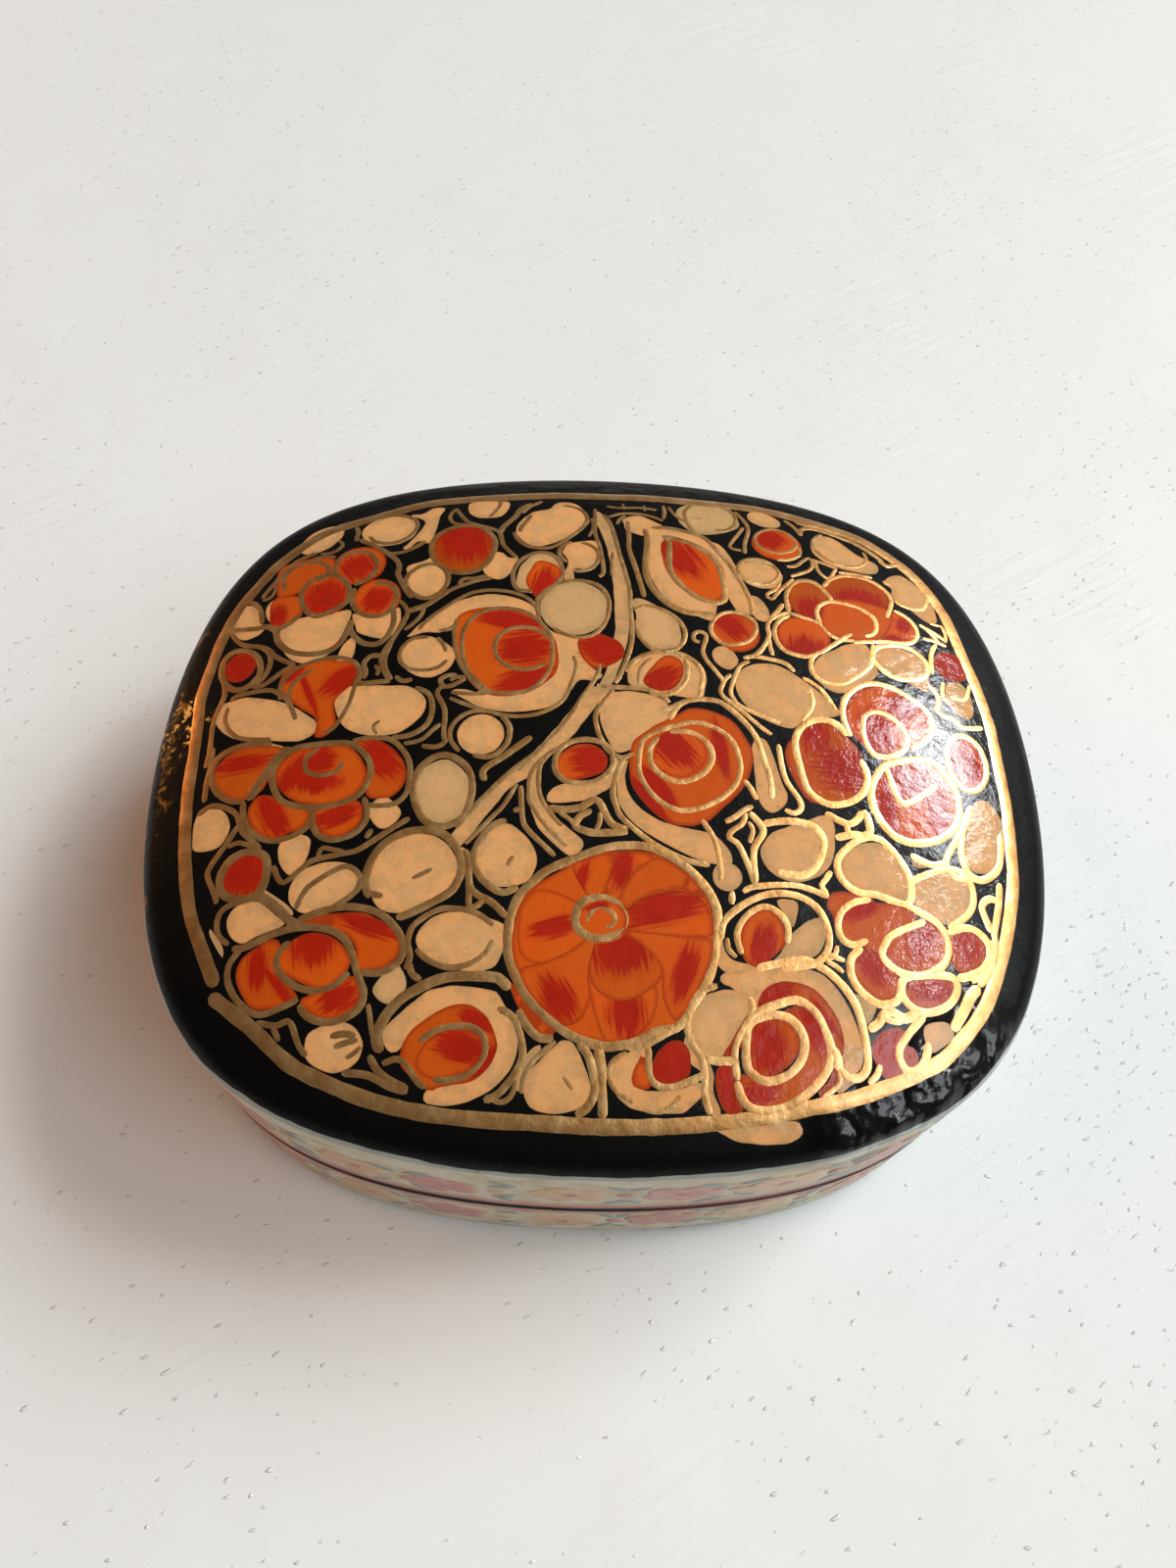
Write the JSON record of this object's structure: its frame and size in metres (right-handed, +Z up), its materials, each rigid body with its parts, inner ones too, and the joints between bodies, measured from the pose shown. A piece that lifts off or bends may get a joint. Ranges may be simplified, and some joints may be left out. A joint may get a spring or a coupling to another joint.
{
  "type": "lacquered papier mache box with lift-off lid",
  "caption": "Small rounded-rectangle papier mache box, lacquered and painted, with a low domed lid that lifts off a glued-in card collar.",
  "frame": {"origin": "on the table, under the middle of the box", "axes": "+Z up, in the direction that the lid lifts; +X along the box's longer side; -Y to the front, the side nearest the camera in the picture"},
  "size_m": [0.09, 0.0794, 0.0382],
  "materials": {
    "black_lacquer": "gloss",
    "side_paint": "gloss",
    "cream_paint": "gloss",
    "orange_paint": "gloss",
    "gold_paint": "satin"
  },
  "bodies": {
    "base": {"base_shell": "side_paint", "collar": "black_lacquer"},
    "lid": {"lid_shell": "black_lacquer"}
  },
  "joints": [
    {"name": "lid_lift", "type": "slide", "parent": "base", "child": "lid", "axis": [0, 0, 1], "range_m": [0, 0.04]}
  ]
}
